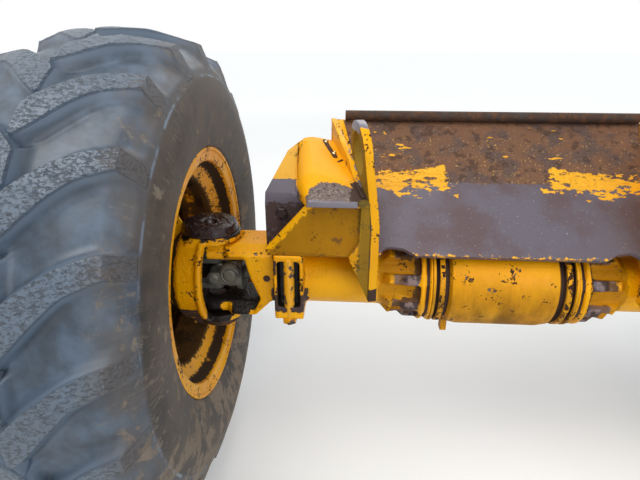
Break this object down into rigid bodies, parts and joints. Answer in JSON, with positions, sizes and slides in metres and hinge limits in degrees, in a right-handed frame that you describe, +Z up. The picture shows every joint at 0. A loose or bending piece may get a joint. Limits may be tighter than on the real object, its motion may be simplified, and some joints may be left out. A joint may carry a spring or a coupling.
{
  "type": "telehandler front axle with wheels",
  "caption": "Driven steering axle of a telehandler, wheel to wheel, with lugged tyres, rims, steering swivels, steering gear and the chassis cradle it is bolted under.",
  "frame": {"origin": "centre of the cradle's back plate, on its rear face where it is welded to the chassis", "axes": "+X to the machine's left along the axle, +Y to the machine's rear, +Z up"},
  "size_m": [2.262, 1.22, 1.22],
  "materials": {
    "yellow_paint": "worn gloss",
    "tyre_rubber": "worn matte",
    "worn_steel": "dusty",
    "rusty_iron": "rust and dried mud",
    "chrome_rod": "polished",
    "worn_plate": "paint worn to rusty steel"
  },
  "bodies": {
    "axle_beam": {"centre_casing": "yellow_paint", "drive_head": "rusty_iron", "beam_arm_left": "yellow_paint", "beam_arm_right": "yellow_paint", "pad_bolts_left": "worn_steel", "pad_bolts_right": "worn_steel", "saddle_bracket_left": "yellow_paint", "saddle_bracket_right": "yellow_paint", "eye_plate_left": "yellow_paint", "eye_plate_right": "yellow_paint", "deck_plate": "worn_plate", "back_plate": "yellow_paint", "cross_bar": "rusty_iron"},
    "knuckle_left": {"swivel_housing_left": "yellow_paint", "king_pin_upper_left": "rusty_iron", "king_pin_lower_left": "rusty_iron"},
    "wheel_left": {"hub_left": "yellow_paint", "hub_cap_left": "yellow_paint", "stub_shaft_left": "worn_steel", "rim_left": "yellow_paint", "tyre_left": "tyre_rubber"},
    "shaft_left": {"half_shaft_left": "worn_steel"},
    "knuckle_right": {"swivel_housing_right": "yellow_paint", "king_pin_upper_right": "rusty_iron", "king_pin_lower_right": "rusty_iron"},
    "wheel_right": {"hub_right": "yellow_paint", "hub_cap_right": "yellow_paint", "stub_shaft_right": "worn_steel", "rim_right": "yellow_paint", "tyre_right": "tyre_rubber"},
    "shaft_right": {"half_shaft_right": "worn_steel"},
    "track_rod": {"tie_rod": "rusty_iron", "tie_rod_end_left": "rusty_iron", "tie_rod_end_right": "rusty_iron"},
    "cylinder": {"steer_cylinder": "yellow_paint"},
    "cylinder_rod": {"steer_rod": "chrome_rod"},
    "drive_input": {"input_flange": "rusty_iron"}
  },
  "joints": [
    {"name": "steer_left", "type": "hinge", "parent": "axle_beam", "child": "knuckle_left", "pos_m": [0.735, -0.262, -0.3], "axis": [0, 0, 1], "range_deg": [-35, 35]},
    {"name": "wheel_spin_left", "type": "hinge", "parent": "knuckle_left", "child": "wheel_left", "pos_m": [0.925, -0.262, -0.3], "axis": [1, 0, 0], "continuous": true},
    {"name": "shaft_spin_left", "type": "hinge", "parent": "axle_beam", "child": "shaft_left", "pos_m": [0.735, -0.262, -0.3], "axis": [1, 0, 0], "continuous": true},
    {"name": "steer_right", "type": "hinge", "parent": "axle_beam", "child": "knuckle_right", "pos_m": [-0.735, -0.262, -0.3], "axis": [0, 0, 1], "range_deg": [-35, 35]},
    {"name": "wheel_spin_right", "type": "hinge", "parent": "knuckle_right", "child": "wheel_right", "pos_m": [-0.925, -0.262, -0.3], "axis": [1, 0, 0], "continuous": true},
    {"name": "shaft_spin_right", "type": "hinge", "parent": "axle_beam", "child": "shaft_right", "pos_m": [-0.735, -0.262, -0.3], "axis": [1, 0, 0], "continuous": true},
    {"name": "track_rod_ball", "type": "hinge", "parent": "knuckle_left", "child": "track_rod", "pos_m": [0.735, -0.037, -0.452], "axis": [0, 0, 1], "range_deg": [-35, 35]},
    {"name": "cylinder_swing", "type": "hinge", "parent": "axle_beam", "child": "cylinder", "pos_m": [0.165, -0.084, -0.36], "axis": [0, 0, 1], "range_deg": [-3.4, 0.3]},
    {"name": "cylinder_stroke", "type": "slide", "parent": "cylinder", "child": "cylinder_rod", "axis": [1, 0.0034, 0], "range_m": [-0.1045, 0.1045]},
    {"name": "input_spin", "type": "hinge", "parent": "axle_beam", "child": "drive_input", "pos_m": [0, 0.038, -0.3], "axis": [0, 1, 0], "continuous": true}
  ],
  "couplings": [
    {"joint": "steer_right", "follows": "steer_left", "ratio": 1},
    {"joint": "track_rod_ball", "follows": "steer_left", "ratio": -1},
    {"joint": "cylinder_stroke", "follows": "steer_left", "m_per_rad": -0.1693},
    {"joint": "shaft_spin_left", "follows": "wheel_spin_left", "ratio": 1},
    {"joint": "shaft_spin_right", "follows": "wheel_spin_right", "ratio": 1}
  ]
}
